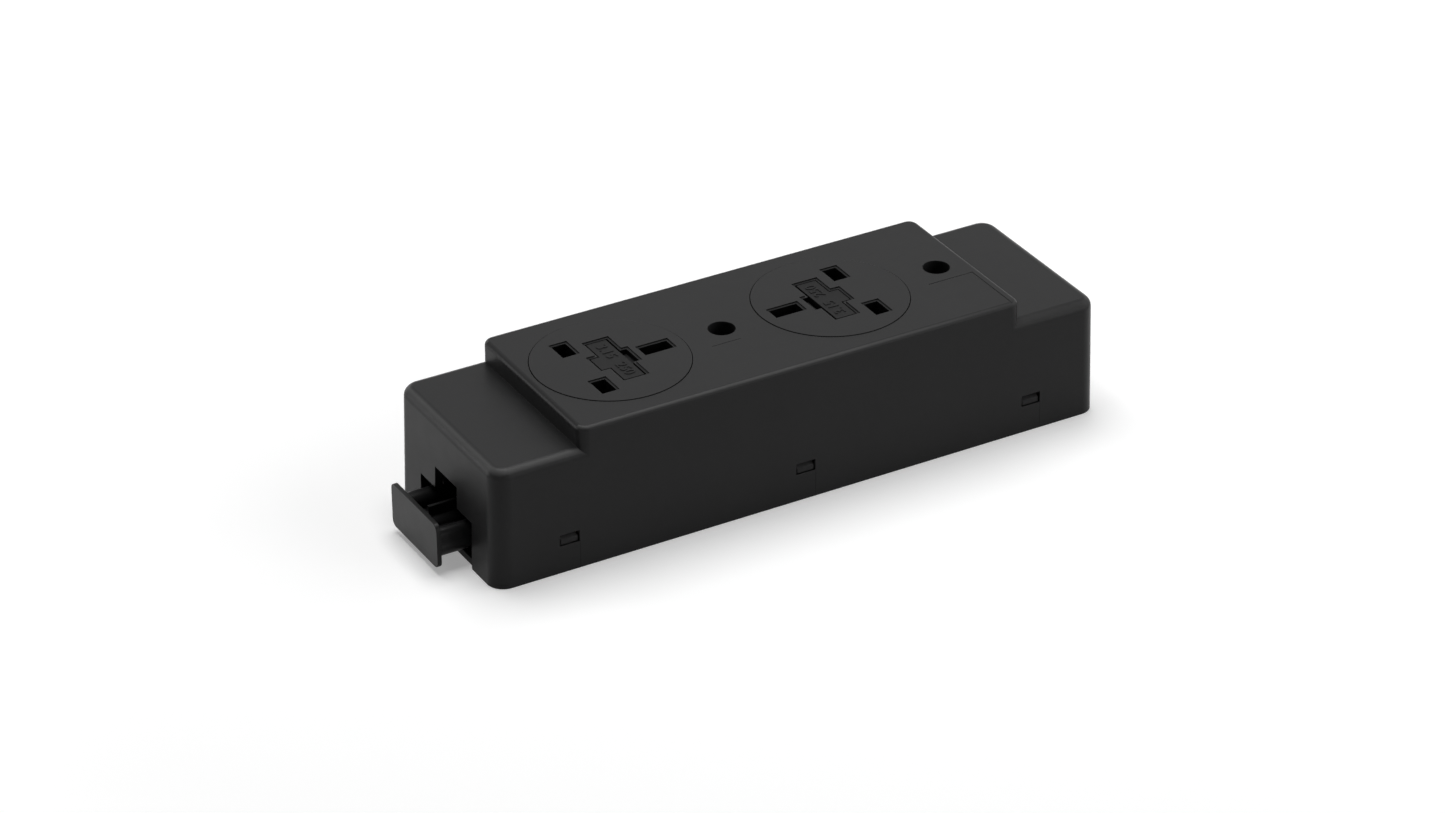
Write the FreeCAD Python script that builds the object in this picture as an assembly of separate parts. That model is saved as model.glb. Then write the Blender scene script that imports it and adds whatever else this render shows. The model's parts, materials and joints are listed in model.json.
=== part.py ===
import FreeCAD, Part
import math
import os

from FreeCAD import Vector

# Under-desk power module with two fused three-pin sockets.
# X runs along the module, Y from front to back and Z up, in millimetres.
# The origin is the middle of the flat underside, which is screwed to a desk.
# A moulded housing stands on a snap-in base cover. Both sockets hang from its
# raised roof, a plug-in connector sits at each end, and flat bars join them.

# Housing, measured over its outside
socket_pitch = 68.9
end_length = 26.4
housing_width = 57.4
low_height = 35.7
raised_step = 6.4
wall = 2.2
side_lean = 0.5
end_lean = 1.5
corner_radius = 5.0
low_edge_radius = 3.0
raised_corner_radius = 3.0
raised_edge_radius = 1.5
least_radius = 0.6

# Screw holes that go down through the housing
disc_from_step = 24.6
screw_from_step = 9.85
screw_head_radius = 3.85
screw_radius = 2.3
tube_wall = 1.8
tube_floor = 2.3

# Ribs under the low ends, and hairlines that the mould leaves on the roof
rib_place = 12.6
rib_depth = 4.4
mould_line_place = 7.4
mould_line_reach = 7.1
mould_line_tail = 1.8
mould_line_width = 0.25
mould_line_depth = 0.15

# Snap windows and hooks
clip_from_end = 22.45
window_width = 6.0
window_height = 3.4
window_low = 8.2
hook_width = 5.2
hook_thickness = 1.4
hook_recess = 0.3
hook_gap = 0.25

# Base cover
cover_thickness = 2.2
cover_gap = 0.25
tongue_recess = 0.8
rim_height = 3.0
rim_thickness = 1.2
pillar_radius = 2.0
far_pillar = (15.0, 11.0)
near_pillar = (10.0, 12.4)

# Keyed opening in each end for a plug-in lead
opening_half_width = 14.9
opening_height = 14.2
key_half_width = 6.3
key_height = 20.7

# Round socket inserts
disc_radius = 22.0
disc_gap = 0.2
disc_proud = 0.15
face_thickness = 2.4
flange_overlap = 1.7
flange_thickness = 1.6
inner_wall = 1.2

# Pin pattern: two mains pins in one row and the earth pin opposite
pin_row_offset = 8.2
pin_spacing = 22.2
earth_distance = 22.2
mains_slot = (4.3, 6.7)
earth_slot = (8.7, 4.3)
slot_border = 0.6
border_depth = 0.4
pin_thickness = 4.0

# Fuse, its carrier and its pocket
fuse_length = 20.0
fuse_radius = 2.5
glass_wall = 0.6
cap_length = 5.0
cap_radius = 2.6
pocket_width = 6.9
pocket_length = 22.2
pocket_offset = 1.5
carrier_gap = 0.3
pry_gap = 0.5
tab_reach = 2.8
tab_width = 7.1
tab_depth = 1.2
notch_reach = 1.9
notch_width = 7.2
notch_depth = 2.0
carrier_top = 1.5
throat_share = 0.9

# Stamped brass strip for the contacts, clips and bars
contact_sheet = 0.7
clip_sheet = 0.4
bar_sheet = 0.8
bar_width = 4.0
bend = 1.0
fit_gap = 0.08
slide_gap = 0.15
part_gap = 0.3

# Blades of a contact, measured down from their mouth
blade_mouth = 0.4
blade_squeeze = 0.4
blade_play = 0.1
blade_margin = 0.7
grip_depth = 3.2
waist_depth = 7.7
contact_height = 11.2
contact_room = 0.8

# Shutter under each socket face, pushed aside by the earth pin
shutter_thickness = 2.2
shutter_travel = 4.8
shutter_half_width = 15.0
shutter_margin = 0.5
ramp_land = 0.7
ramp_lead = 3.0
spring_post = (1.0, 2.4)
spring_post_reach = 13.0
spring_slot_width = 3.0
spring_radius = 0.9
spring_wire = 0.15
spring_turns = 6

# Heights inside the module
socket_base_low = 12.0
pole_height = 8.2
rail_from_wall = 4.6

# Plug-in connectors behind the end openings
pole_spacing = 10.0
pole_radius = 1.5
pole_bevel = 0.6
sleeve_wall = 0.6
sleeve_depth = 4.5
connector_depth = 16.5
shroud_depth = 6.2
connector_wall = 1.2
chamber_depth = 8.0
mouth_low = 2.8
inlet_pin_reach = 12.0
contact_tail = 2.6

# Blanking cap with a pull plate, posts and a stiffening fin
cap_plate = (1.3, 27.0, 13.4)
cap_plate_radius = 2.0
cap_plate_low = 1.9
cap_standoff = 8.0
post_radius = 2.65
post_offset = 1.4
crest_radius = 1.9
crest_offset = 2.2
middle_post_drop = 0.7
fin_top = 13.4
fin_thickness = 1.0
fin_standoff = 3.0
ledge_top = 11.4
ledge_width = 4.3

# How far a cut runs past the face that it opens
past = 1.0

# Places worked out from the sizes above
hole_from_disc = socket_pitch / 2
raised_length = disc_from_step + socket_pitch + hole_from_disc + screw_from_step
housing_length = raised_length + 2 * end_length
raised_height = low_height + raised_step
side_slope = math.tan(math.radians(side_lean))
end_slope = math.tan(math.radians(end_lean))
roof_under = raised_height - wall
left_disc = -raised_length / 2 + disc_from_step
socket_centres = {"left": left_disc, "right": left_disc + socket_pitch}
screw_places = [centre + hole_from_disc for centre in socket_centres.values()]
tube_radius = screw_head_radius + tube_wall
clip_reach = housing_length / 2 - clip_from_end
clip_places = [-clip_reach, 0.0, clip_reach]
mains_row = -pin_row_offset
earth_place = earth_distance - pin_row_offset
face_top = raised_height + disc_proud
fuse_height = face_top - carrier_top - fit_gap - cap_radius
clip_base = fuse_height - cap_radius - fit_gap - clip_sheet
pocket_floor = clip_base - fit_gap
face_low = pocket_floor - inner_wall
shutter_top = face_low - slide_gap
shutter_low = shutter_top - shutter_thickness
shutter_bed = shutter_low - slide_gap
ramp_low = shutter_top - shutter_travel - ramp_land
mains_contact_top = shutter_bed - inner_wall - contact_room
earth_contact_top = ramp_low - slide_gap - contact_room
contact_foot = mains_contact_top - contact_height
mains_bar_top = pole_height - pole_radius
mains_bar_low = mains_bar_top - bar_sheet
earth_bar_top = cover_thickness + bar_sheet
clip_place = fuse_length / 2 - cap_length / 2 + shutter_margin
shutter_front = pocket_offset + bar_sheet / 2 + part_gap + shutter_travel + inner_wall
saddle_length = fuse_length - 2 * cap_length - 2 * part_gap
rail_place = housing_width / 2 - wall - rail_from_wall
connector_end = housing_length / 2 - wall - end_slope * key_height - part_gap
connector_back = connector_end - connector_depth
bar_end = connector_back - contact_tail
outlet_face = connector_end - shroud_depth


def span(middle, size):
    """The low and high ends of a length about its middle."""
    return middle - size / 2, middle + size / 2


def block(x, y, z):
    """A block between low and high ends along each axis."""
    corner = Vector(x[0], y[0], z[0])
    return Part.makeBox(x[1] - x[0], y[1] - y[0], z[1] - z[0], corner)


def rod(radius, x, y, low, high):
    """An upright cylinder."""
    return Part.makeCylinder(radius, high - low, Vector(x, y, low))


def level_rod(radius, x, y, z):
    """A cylinder along X."""
    start = Vector(x[0], y, z)
    return Part.makeCylinder(radius, x[1] - x[0], start, Vector(1, 0, 0))


def join(shapes):
    """One clean solid from touching or overlapping solids."""
    first = shapes[0]
    return first.multiFuse(shapes[1:]).removeSplitter()


def prism(points, move):
    """A flat outline swept along a vector."""
    outline = Part.makePolygon(points + points[:1])
    return Part.Face(outline).extrude(move)


def strip(points, thickness, move):
    """Sheet metal that follows a bent line, swept along a vector."""
    line = Part.makePolygon(points)
    outline = line.makeOffset2D(thickness / 2, 2, False, False)
    return Part.Face(outline).extrude(move)


def leaning_block(length, width, low, high, ends, sides):
    """A block whose walls lean in as they rise, sized at height zero."""
    foot_x = length / 2 - ends * low
    foot_y = width / 2 - sides * low
    head_x = length / 2 - ends * high
    head_y = width / 2 - sides * high
    shape = Part.makeWedge(-foot_x, low, -foot_y, -head_y, -head_x,
                           foot_x, high, foot_y, head_y, head_x)
    shape.rotate(Vector(), Vector(1, 0, 0), 90)
    return shape


def upright_edges(shape):
    """Edges that climb from the foot of a block to its head."""
    height = shape.BoundBox.ZLength
    return [edge for edge in shape.Edges if edge.BoundBox.ZLength > 0.9 * height]


def edges_at(shape, height):
    """Edges whose ends both lie at one height."""
    return [edge for edge in shape.Edges
            if all(abs(vertex.Z - height) < 0.01 for vertex in edge.Vertexes)]


def moulded_block(length, width, low, high, ends, corner, top_edge):
    """A leaning block with rounded corners and a rounded top edge."""
    shape = leaning_block(length, width, low, high, ends, side_slope)
    shape = shape.makeFillet(corner, upright_edges(shape))
    return shape.makeFillet(top_edge, edges_at(shape, high))


def side_face(height):
    """How far the outside of a long wall is from the middle at a height."""
    return housing_width / 2 - side_slope * height


def keyed_prism(x, grow, low):
    """The stepped outline of the end openings, swept along X."""
    half = opening_half_width + grow
    key = key_half_width + grow
    shoulder = opening_height + grow
    top = key_height + grow
    outline = [(-half, low), (-half, shoulder), (-key, shoulder), (-key, top),
               (key, top), (key, shoulder), (half, shoulder), (half, low)]
    points = [Vector(x[0], y, z) for y, z in outline]
    return prism(points, Vector(x[1] - x[0], 0, 0))


def seat_socket(shape, side):
    """Put a piece made about its own disc into the left or right socket."""
    placed = shape.copy()
    if side == "right":
        placed.rotate(Vector(), Vector(0, 0, 1), 180)
    placed.translate(Vector(socket_centres[side], 0, 0))
    return placed


def housing_skin(inset):
    """The outside of the housing, or with an inset the hollow in it."""
    foot = -past if inset else 0.0
    corner = max(corner_radius - inset, least_radius)
    raised_corner = max(raised_corner_radius - inset, least_radius)
    low_edge = max(low_edge_radius - inset, least_radius)
    raised_edge = max(raised_edge_radius - inset, least_radius)
    low_part = moulded_block(housing_length - 2 * inset, housing_width - 2 * inset,
                             foot, low_height - inset, end_slope, corner, low_edge)
    raised_part = moulded_block(raised_length - 2 * inset, housing_width - 2 * inset,
                                low_height / 2, raised_height - inset, 0.0,
                                raised_corner, raised_edge)
    return join([low_part, raised_part])


def housing():
    """One moulding: hollow shell, screw tubes, ribs, windows and openings."""
    shell = housing_skin(0.0).cut(housing_skin(wall))
    tubes = [rod(tube_radius, x, 0, cover_thickness, raised_height - wall / 2)
             for x in screw_places]
    shell = join([shell] + tubes + end_ribs())
    cuts = []
    for x in screw_places:
        cuts.append(rod(screw_head_radius, x, 0, cover_thickness + tube_floor, face_top))
        cuts.append(rod(screw_radius, x, 0, 0, face_top))
    for x in socket_centres.values():
        cuts.append(rod(disc_radius + disc_gap, x, 0, roof_under - past, face_top))
    window = (window_low, window_low + window_height)
    for x in clip_places:
        cuts.append(block(span(x, window_width), span(0, housing_width + past), window))
    for end in (-1, 1):
        x = sorted((end * (housing_length / 2 + past), end * (connector_end - past)))
        cuts.append(keyed_prism(x, 0.0, -past))
    cuts += mould_lines()
    return shell.cut(Part.makeCompound(cuts))


def end_ribs():
    """Stiffening ribs under the roof of each low end."""
    ribs = []
    top = low_height - wall / 2
    inner = raised_length / 2 + wall
    outer = housing_length / 2 - wall - end_slope * top - least_radius
    for end in (-1, 1):
        x = sorted((end * inner, end * outer))
        for y in (-rib_place, rib_place):
            ribs.append(block(x, span(y, rim_thickness), (top - rib_depth, top)))
    return ribs


def mould_lines():
    """Hairline marks that the mould's insert leaves in front of the screw holes."""
    first, last = screw_places
    bottom = raised_height - mould_line_depth
    row = span(-mould_line_place, mould_line_width)
    edge = span(last + mould_line_reach, mould_line_width)
    half = mould_line_width / 2
    return [block((first - mould_line_reach, first + mould_line_tail), row, (bottom, face_top)),
            block((last - mould_line_reach, edge[1]), row, (bottom, face_top)),
            block(edge, (-housing_width / 2, -mould_line_place + half), (bottom, face_top))]


def hook(x, side):
    """A snap hook that rises from the cover into a window of the housing."""
    low = window_low + hook_gap
    top = window_low + window_height - hook_gap
    outer = side_face(top) - wall - hook_gap
    inner = outer - hook_thickness
    nose = side_face(top) - hook_recess
    outline = [(inner, cover_thickness / 2), (inner, top), (outer, top),
               (nose, (low + top) / 2), (nose, low), (outer, low),
               (outer, cover_thickness / 2)]
    start = x - hook_width / 2
    points = [Vector(start, side * y, z) for y, z in outline]
    return prism(points, Vector(hook_width, 0, 0))


def base_cover():
    """The snap-in tray that closes the underside and carries the insides."""
    length = housing_length - 2 * wall - 2 * cover_gap
    width = housing_width - 2 * wall - 2 * cover_gap
    plate = block(span(0, length), span(0, width), (0, cover_thickness))
    plate = plate.makeFillet(corner_radius - wall, upright_edges(plate))
    pieces = [plate]
    for end in (-1, 1):
        x = sorted((end * (length / 2 - past), end * (housing_length / 2 - tongue_recess)))
        y = span(0, 2 * (opening_half_width - cover_gap))
        pieces.append(block(x, y, (0, cover_thickness)))
    for x in clip_places:
        pieces += [hook(x, side) for side in (-1, 1)]
    pieces += cover_rims(length, width)
    pieces += cover_pillars()
    collar_top = cover_thickness + rim_height
    for x in screw_places:
        pieces.append(rod(collar_radius(), x, 0, 0, collar_top))
    cover = join(pieces)
    cuts = []
    for x in screw_places:
        cuts.append(rod(tube_radius + slide_gap, x, 0, cover_thickness, collar_top + past))
        cuts.append(rod(screw_radius, x, 0, -past, cover_thickness + past))
    return cover.cut(Part.makeCompound(cuts))


def collar_radius():
    """Outside of the collar that the cover has round each screw tube."""
    return tube_radius + slide_gap + rim_thickness


def cover_rims(length, width):
    """Low stiffening rims between the hooks, along both long edges."""
    rims = []
    gap = hook_width + 2 * hook_thickness
    edges = [-length / 2 + corner_radius] + clip_places + [length / 2 - corner_radius]
    for start, end in zip(edges, edges[1:]):
        low = start + gap / 2
        high = end - gap / 2
        for side in (-1, 1):
            y = side * (width / 2 - hook_thickness)
            rims.append(block((low, high), span(y, rim_thickness),
                              (cover_thickness / 2, cover_thickness + rim_height)))
    return rims


def cover_pillars():
    """Pillars under both socket bases and rests under both mains bars."""
    pillars = []
    for side in socket_centres:
        for y in (-1, 1):
            for place in ((-far_pillar[0], y * far_pillar[1]), (near_pillar[0], y * near_pillar[1])):
                pillar = rod(pillar_radius, *place, cover_thickness / 2, socket_base_low)
                pillars.append(seat_socket(pillar, side))
    for x in (socket_centres["left"], 0.0, socket_centres["right"] + disc_radius):
        for y in (-rail_place, rail_place):
            rest = block(span(x, bar_width / 2), span(y, bar_width),
                         (cover_thickness / 2, mains_bar_low))
            pillars.append(rest)
    return pillars


def slot_places():
    """Place and size of the three pin slots about the disc centre."""
    half = pin_spacing / 2
    return {"line": (mains_row, -half, mains_slot),
            "neutral": (mains_row, half, mains_slot),
            "earth": (earth_place, 0.0, earth_slot)}


def grown_slot(place, grow, low, high):
    """The block of one pin slot, made larger all round by a margin."""
    x, y, size = place
    return block(span(x, size[0] + 2 * grow), span(y, size[1] + 2 * grow), (low, high))


def pocket_block(grow, low, high):
    """The block of the fuse pocket, made larger all round by a margin."""
    return block(span(pocket_offset, pocket_width + 2 * grow),
                 span(0, pocket_length + 2 * grow), (low, high))


def socket_face():
    """The round insert: face, flange, skirt, pin guides and fuse pocket."""
    under = face_top - face_thickness
    flats = roof_flats()
    flange = rod(disc_radius + flange_overlap, 0, 0, roof_under - flange_thickness, roof_under)
    skirt = rod(disc_radius, 0, 0, face_low, under)
    skirt = skirt.cut(rod(disc_radius - inner_wall, 0, 0, face_low, under))
    pieces = [rod(disc_radius, 0, 0, under, face_top), flange.common(flats), skirt,
              pocket_block(inner_wall, face_low, under)]
    for place in slot_places().values():
        pieces.append(grown_slot(place, inner_wall, face_low, under))
    face = join(pieces)
    cuts = [pocket_block(0, pocket_floor, face_top + past)]
    for place in slot_places().values():
        cuts.append(grown_slot(place, 0, face_low - past, face_top + past))
        cuts.append(grown_slot(place, slot_border, face_top - border_depth, face_top + past))
    cuts += pocket_sides()
    cuts += pocket_border()
    for y in (-clip_place, clip_place):
        cuts.append(block(span(pocket_offset, bar_sheet + 2 * part_gap),
                          span(y, bar_width + 2 * slide_gap), (face_low - past, face_top)))
    return face.cut(Part.makeCompound(cuts))


def roof_flats():
    """Room for the flange between the ends of the raised roof."""
    reach = disc_from_step - wall - least_radius
    return block(span(0, 2 * reach), span(0, housing_width), (0, raised_height))


def pocket_sides():
    """The tab bed and the pry notch beside the fuse pocket."""
    bed_end = pocket_offset - pocket_width / 2
    notch_end = pocket_offset + pocket_width / 2
    bed = block((bed_end - tab_reach, pocket_offset), span(0, tab_width),
                (face_top - tab_depth, face_top + past))
    notch = block((pocket_offset, notch_end + notch_reach), span(0, notch_width),
                  (face_top - notch_depth, face_top + past))
    return [bed, notch]


def pocket_border():
    """The shallow step round the fuse pocket, its tab bed and its pry notch."""
    step = (face_top - border_depth, face_top + past)
    bed_end = pocket_offset - pocket_width / 2 - tab_reach - slot_border
    notch_end = pocket_offset + pocket_width / 2 + notch_reach + slot_border
    round_bed = block((bed_end, pocket_offset), span(0, tab_width + 2 * slot_border), step)
    round_notch = block((pocket_offset, notch_end), span(0, notch_width + 2 * slot_border), step)
    return [pocket_block(slot_border, *step), round_bed, round_notch]


def fuse_carrier():
    """The pull-out carrier: top plate, side tab and a saddle over the fuse."""
    top = face_top - border_depth
    low_x = pocket_offset - pocket_width / 2 + carrier_gap
    high_x = pocket_offset + pocket_width / 2 - pry_gap
    length = pocket_length - 2 * carrier_gap
    under = face_top - carrier_top
    plate = block((low_x, high_x), span(0, length), (under, top))
    tab = block((low_x - tab_reach, low_x + past), span(0, tab_width - 2 * carrier_gap),
                (face_top - tab_depth + fit_gap, top))
    saddle = block((low_x, high_x), span(0, saddle_length), (fuse_height - cap_radius / 2, under))
    carrier = join([plate, tab, saddle])
    bed = Part.makeCylinder(fuse_radius + fit_gap, saddle_length + 2 * past,
                            Vector(pocket_offset, -saddle_length / 2 - past, fuse_height),
                            Vector(0, 1, 0))
    throat = block(span(pocket_offset, 2 * fuse_radius * throat_share), span(0, saddle_length + 2 * past),
                   (fuse_height - cap_radius, fuse_height))
    return carrier.cut(Part.makeCompound([bed, throat]))


def fuse_tube():
    """The glass tube of the cartridge fuse, without its end caps."""
    length = fuse_length - 2 * fit_gap - 2 * clip_sheet
    start = Vector(pocket_offset, -length / 2, fuse_height)
    outside = Part.makeCylinder(fuse_radius - slide_gap, length, start, Vector(0, 1, 0))
    bore = Part.makeCylinder(fuse_radius - slide_gap - glass_wall, length, start, Vector(0, 1, 0))
    return outside.cut(bore)


def fuse_caps():
    """Both metal end caps of the cartridge fuse."""
    caps = []
    for end in (-1, 1):
        start = Vector(pocket_offset, end * fuse_length / 2, fuse_height)
        inwards = Vector(0, -end, 0)
        cap = Part.makeCylinder(cap_radius, cap_length, start, inwards)
        floor = start + inwards * clip_sheet
        hollow = Part.makeCylinder(fuse_radius - slide_gap, cap_length, floor, inwards)
        caps.append(cap.cut(hollow))
    return Part.makeCompound(caps)


def clip_arms(y):
    """A springy U that holds one end cap of the fuse, open to the top."""
    reach = cap_radius + fit_gap + clip_sheet / 2
    base = clip_base + clip_sheet / 2
    top = fuse_height + cap_radius - bend
    outline = [(-reach, top), (-reach, base + bend), (-reach + bend, base),
               (reach - bend, base), (reach, base + bend), (reach, top)]
    width = cap_length - 2 * blade_margin
    points = [Vector(pocket_offset + x, y - width / 2, z) for x, z in outline]
    return strip(points, clip_sheet, Vector(0, width, 0))


def clip_stem(y, low):
    """The flat stem that carries a fuse clip."""
    width = cap_length - 2 * blade_margin
    return block(span(pocket_offset, bar_sheet), span(y, width), (low, clip_base + clip_sheet / 2))


def contact_blades(top, width):
    """Two sprung blades on a common foot, gripping a pin between them."""
    grip = pin_thickness / 2 - blade_squeeze + contact_sheet / 2
    side = pin_thickness / 2 + blade_play + contact_sheet / 2
    mouth = side + blade_mouth
    half = [(mouth, top), (grip, top - grip_depth), (side, top - waist_depth), (side, contact_foot)]
    outline = [(-x, z) for x, z in half] + half[::-1]
    points = [Vector(x, -width / 2, z) for x, z in outline]
    return strip(points, contact_sheet, Vector(0, width, 0))


def mains_contact(y):
    """Blades for one mains pin."""
    blades = contact_blades(mains_contact_top, mains_slot[1] - blade_margin)
    blades.translate(Vector(mains_row, y, 0))
    return blades


def contact_stem(x, y, low):
    """The tail that carries a contact down to its bar."""
    return block(span(x, bar_sheet), span(y, bar_width), (low, contact_foot))


def line_contact():
    """Line blades, with the clip for the load end of the fuse on one strip."""
    y = -pin_spacing / 2
    foot = (contact_foot - contact_sheet / 2, contact_foot + contact_sheet / 2)
    bridge = block((mains_row, pocket_offset + bar_sheet / 2),
                   (y, -clip_place + cap_length / 2 - blade_margin), foot)
    return join([mains_contact(y), bridge, clip_stem(-clip_place, contact_foot),
                 clip_arms(-clip_place)])


def feed_clip():
    """Clip for the live end of the fuse, on a stem from the line bar."""
    return join([clip_arms(clip_place), clip_stem(clip_place, mains_bar_top)])


def neutral_contact():
    """Neutral blades with a tail to the neutral bar."""
    y = pin_spacing / 2
    return join([mains_contact(y), contact_stem(mains_row, y, mains_bar_top)])


def earth_contact():
    """Earth blades, turned a quarter turn, with a tail to the earth bar."""
    blades = contact_blades(earth_contact_top, earth_slot[0] - 2 * blade_margin)
    blades.rotate(Vector(), Vector(0, 0, 1), 90)
    blades.translate(Vector(earth_place, 0, 0))
    return join([blades, contact_stem(earth_place, 0, earth_bar_top)])


def socket_base():
    """The moulded base that holds the contacts and guides the shutter."""
    radius = disc_radius + disc_gap
    base = rod(radius, 0, 0, socket_base_low, face_low)
    cuts = shutter_room()
    room = pin_thickness + 2 * (contact_sheet + blade_mouth + blade_margin)
    roof = shutter_bed - inner_wall
    below = socket_base_low - past
    for y in (-pin_spacing / 2, pin_spacing / 2):
        cuts.append(block(span(mains_row, room), span(y, mains_slot[1]), (below, roof)))
        cuts.append(grown_slot((mains_row, y, mains_slot), slide_gap, below, face_low + past))
        cuts.append(block(span(pocket_offset, bar_sheet + 2 * part_gap),
                          span(math.copysign(clip_place, y), bar_width), (below, face_low)))
    cuts.append(block(span(earth_place, earth_slot[0] - blade_margin), span(0, room),
                      (below, shutter_bed)))
    channel = (-pin_spacing / 2 - part_gap, -clip_place + bar_width / 2)
    cuts.append(block((mains_row, pocket_offset + bar_sheet / 2 + part_gap), channel,
                      (below, contact_foot + past)))
    post = block(span(-spring_post_reach, spring_post[0]), span(0, spring_post[1]),
                 (shutter_bed - past, shutter_top))
    return join([base.cut(Part.makeCompound(cuts)), post])


def shutter_room():
    """The recess that the shutter slides in, with room for its ramp."""
    width = 2 * (shutter_half_width + slide_gap)
    round_end = rod(disc_radius - inner_wall + slide_gap, 0, 0, shutter_bed, face_low + past)
    main = block((-disc_radius, shutter_front + slide_gap), span(0, width),
                 (shutter_bed, face_low + past))
    ramp_width = earth_slot[1] + 2 * (shutter_margin + slide_gap)
    ramp = block((0, earth_place + earth_slot[0] / 2 + slide_gap), span(0, ramp_width),
                 (ramp_low - slide_gap, face_low + past))
    return [round_end.common(main), ramp]


def shutter():
    """Plate over both mains slots, with the ramp that the earth pin pushes."""
    edge = disc_radius - inner_wall
    width = 2 * shutter_half_width
    back = block((-disc_radius, mains_row + mains_slot[0] / 2 + shutter_margin), span(0, width),
                 (shutter_low, shutter_top))
    front = block((-disc_radius, shutter_front), span(0, 2 * (clip_place + bar_width / 2 + inner_wall)),
                  (shutter_low, shutter_top))
    disc = rod(edge, shutter_travel, 0, shutter_low, shutter_top)
    plate = join([back, front]).common(disc)
    ramp_start = earth_place - earth_slot[0] / 2
    ramp_end = ramp_start + shutter_travel
    outline = [(ramp_start - ramp_lead, shutter_top), (ramp_start, shutter_top),
               (ramp_end, ramp_low + ramp_land), (ramp_end, ramp_low),
               (ramp_start - ramp_lead, ramp_low)]
    half = earth_slot[1] / 2 + shutter_margin
    ramp = prism([Vector(x, -half, z) for x, z in outline], Vector(0, 2 * half, 0))
    through = (shutter_low - past, shutter_top + past)
    cuts = [block(spring_window(), span(0, spring_slot_width), through)]
    window = (pocket_offset - bar_sheet / 2 - part_gap,
              pocket_offset + bar_sheet / 2 + part_gap + shutter_travel)
    for y in (-clip_place, clip_place):
        cuts.append(block(window, span(y, bar_width), through))
    return join([plate, ramp]).cut(Part.makeCompound(cuts))


def spring_window():
    """Slot in the shutter for its spring, from the post to the far edge."""
    start = -spring_post_reach - spring_post[0] / 2 - part_gap
    return start, start + 2 * shutter_travel


def shutter_spring():
    """The coil that pushes the shutter back over the mains slots."""
    low = -spring_post_reach + spring_post[0] / 2 + slide_gap
    high = spring_window()[1] - slide_gap
    length = high - low - 2 * spring_wire
    helix = Part.makeHelix(length / spring_turns, length, spring_radius)
    circle = Part.Wire(Part.makeCircle(spring_wire, Vector(spring_radius, 0, 0), Vector(0, 1, 0)))
    spring = Part.Wire(helix).makePipeShell([circle], True, True)
    spring.rotate(Vector(), Vector(0, 1, 0), 90)
    spring.translate(Vector(low + spring_wire, 0, (shutter_low + shutter_top) / 2))
    return spring


def flat_bar(points, low):
    """Bar metal lying flat along a bent line."""
    line = [Vector(x, y, low) for x, y in points]
    return strip(line, bar_width, Vector(0, 0, bar_sheet))


def mains_bar(side, feeds):
    """A rail along one long wall, with arms to the sockets and both ends."""
    rail = side * rail_place
    pole = side * (pole_spacing - bar_width / 2)
    end = connector_back - part_gap - bar_width / 2
    path = [(-end, pole), (-end, rail), (end, rail), (end, pole)]
    pieces = [flat_bar(path, mains_bar_low)]
    for x, y in feeds:
        arm = (min(rail, y) - bar_width / 2, max(rail, y) + bar_width / 2)
        pieces.append(block(span(x, bar_width), arm, (mains_bar_low, mains_bar_top)))
    return join(pieces)


def local_place(side, x, y):
    """A place about a disc centre, given in the module's own frame."""
    turn = -1 if side == "right" else 1
    return socket_centres[side] + turn * x, turn * y


def line_bar():
    """The line bar feeds the live clip of each fuse."""
    feeds = [local_place(side, pocket_offset, clip_place) for side in socket_centres]
    return mains_bar(-1, feeds)


def neutral_bar():
    """The neutral bar feeds the neutral contact of each socket."""
    feeds = [local_place(side, mains_row, pin_spacing / 2) for side in socket_centres]
    return mains_bar(1, feeds)


def earth_bar():
    """The earth bar lies on the cover and passes round both screw tubes."""
    reach = collar_radius() + bar_width / 2 + 2 * bar_sheet
    first, last = screw_places
    path = [(-bar_end, 0.0), (first - reach, 0.0), (first - reach / 2, reach),
            (first + reach / 2, reach), (first + reach, 0.0),
            (last - reach, 0.0), (last - reach / 2, reach),
            (last + reach - bar_width / 2, reach), (bar_end, 0.0)]
    pieces = [flat_bar(path, cover_thickness)]
    for end in (-1, 1):
        x = sorted((end * bar_end, end * (bar_end - bar_sheet)))
        pieces.append(block(x, span(0, bar_width), (cover_thickness, pole_height + pole_radius)))
    return join(pieces)


def connector_shell(mouth_end):
    """Outside of a connector with the keyed mouth cut to a given depth."""
    shell = keyed_prism((connector_back, connector_end), connector_wall, cover_thickness)
    mouth = keyed_prism((mouth_end, connector_end + past), 0.0, mouth_low)
    return shell.cut(mouth)


def post_outline(pole, grow, x):
    """The keyed outline of one pole, swept along X and made larger all round."""
    y = pole * pole_spacing
    if pole == 0:
        return level_rod(post_radius + grow, x, y, pole_height - middle_post_drop)
    thick = pole_height + pole * post_offset
    thin = pole_height - pole * crest_offset
    neck = block(x, span(y, 2 * (crest_radius + grow)), sorted((thick, thin)))
    return join([level_rod(post_radius + grow, x, y, thick),
                 level_rod(crest_radius + grow, x, y, thin), neck])


def pole_hole(pole, x):
    """The hole that one pin or sleeve is pushed through."""
    return level_rod(pole_radius + fit_gap, x, pole * pole_spacing, pole_height)


def outlet_connector():
    """Left connector: a block with a keyed chamber for each pole behind its mouth."""
    shell = connector_shell(outlet_face)
    cuts = []
    for pole in (-1, 0, 1):
        cuts.append(post_outline(pole, part_gap, (outlet_face - chamber_depth, outlet_face + past)))
        cuts.append(pole_hole(pole, (connector_back - past, outlet_face)))
    shell = shell.cut(Part.makeCompound(cuts))
    return shell.mirror(Vector(), Vector(1, 0, 0))


def inlet_connector():
    """Right connector: a deep keyed mouth round three pins."""
    mouth_end = connector_end - inlet_pin_reach - pole_radius
    shell = connector_shell(mouth_end)
    cuts = [pole_hole(pole, (connector_back - past, mouth_end + past)) for pole in (-1, 0, 1)]
    return shell.cut(Part.makeCompound(cuts))


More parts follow.
